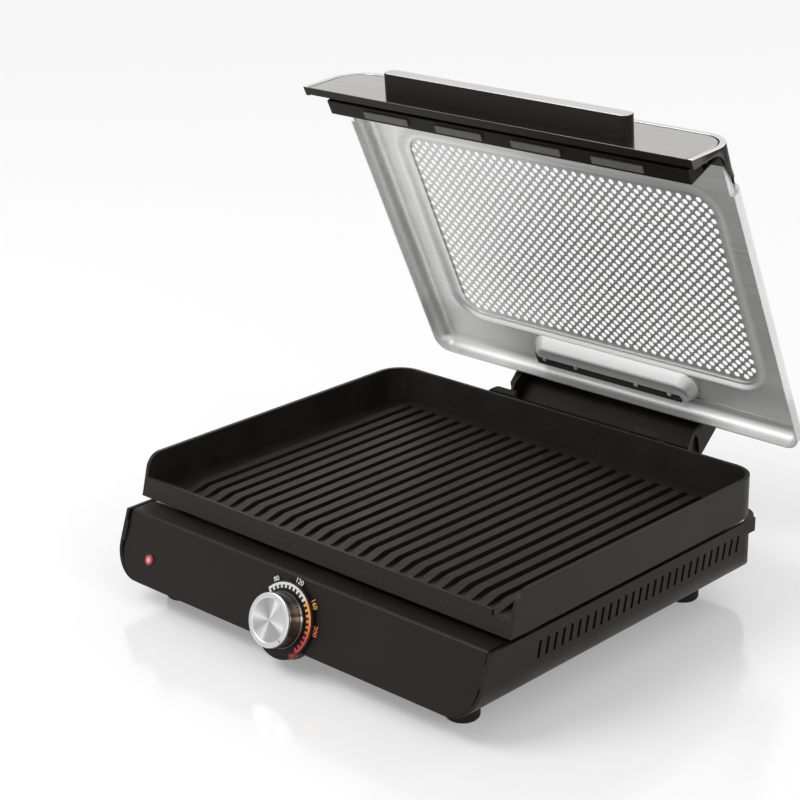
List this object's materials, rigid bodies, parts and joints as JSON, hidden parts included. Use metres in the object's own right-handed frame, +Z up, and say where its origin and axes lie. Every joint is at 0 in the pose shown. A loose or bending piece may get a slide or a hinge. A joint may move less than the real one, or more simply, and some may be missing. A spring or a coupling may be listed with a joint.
{
  "type": "electric indoor grill",
  "caption": "Tabletop electric contact-free grill: ribbed cooking plate with low front lip and pouring spout, dial on a sloping front, and a hinged lid with perforated screen.",
  "frame": {"origin": "centre of the whole part's bounding box in plan, on the table plane under the feet", "axes": "+Z up, -Y towards the cook (dial side), +X to the cook's right as seen from the front"},
  "size_m": [0.36, 0.3987, 0.367],
  "materials": {
    "housing": "satin black heat-resistant plastic",
    "black_steel": "satin black enamel",
    "black_plastic": "fine-grained heat-resistant plastic",
    "grill_coating": "speckled non-stick coating over die-cast aluminium",
    "stainless": "brushed stainless steel",
    "lid_steel": "satin stainless steel",
    "face_metal": "brushed dark metal",
    "bright_trim": "brushed aluminium",
    "zinc_steel": "zinc-plated steel",
    "rubber": "moulded rubber",
    "element": "oxidised heater sheath",
    "ceramic": "glazed ceramic",
    "wire": "glass-fibre sleeving",
    "lens": "clear red lens",
    "brass": "plated brass",
    "fibre": "friction fibre",
    "dial": "printed spun aluminium"
  },
  "bodies": {
    "base": {"base_shell": "housing", "front_panel": "black_plastic", "back_cover": "black_plastic", "bottom_cover": "stainless", "cover_screws": "zinc_steel", "foot_front_left": "black_plastic", "foot_front_right": "black_plastic", "foot_back_left": "black_plastic", "foot_back_right": "black_plastic", "foot_screws": "zinc_steel", "reflector_tray": "stainless", "tray_screws": "zinc_steel", "plate_pads": "rubber", "heating_element": "element", "element_cradles": "stainless", "element_bushes": "ceramic", "temperature_probe": "brass", "probe_spring": "zinc_steel", "thermostat": "black_plastic", "thermostat_bracket": "zinc_steel", "thermostat_screws": "zinc_steel", "thermal_fuse": "ceramic", "terminal_block": "ceramic", "power_inlet": "black_plastic", "inlet_wires": "wire", "heater_wires": "wire", "pilot_lens": "lens", "pilot_lamp": "ceramic", "dial_disc": "dial", "hinge_towers": "black_plastic", "tower_screws": "zinc_steel", "hinge_pins": "zinc_steel", "pin_clips": "zinc_steel", "friction_washers": "fibre", "cooking_plate": "grill_coating"},
    "knob": {"control_knob": "black_plastic", "knob_cap": "bright_trim", "thermostat_shaft": "zinc_steel"},
    "lid": {"lid_shell": "lid_steel", "perforated_screen": "lid_steel", "lid_trim": "black_plastic", "trim_face": "face_metal", "trim_baffle": "black_plastic", "lip_bumpers": "rubber", "handle_bar": "black_plastic", "handle_plate": "bright_trim", "handle_screws": "zinc_steel", "hinge_bracket": "black_steel", "bracket_bolts": "zinc_steel", "hinge_hood": "black_plastic", "hood_screws": "zinc_steel"}
  },
  "joints": [
    {"name": "lid_hinge", "type": "hinge", "parent": "base", "child": "lid", "pos_m": [0, 0.15493, 0.0624], "axis": [1, 0, 0], "range_deg": [0, 64.75]},
    {"name": "knob_turn", "type": "hinge", "parent": "base", "child": "knob", "pos_m": [0, -0.17716, 0.0351], "axis": [0, -0.9455, 0.3256], "range_deg": [-240, 0]}
  ]
}
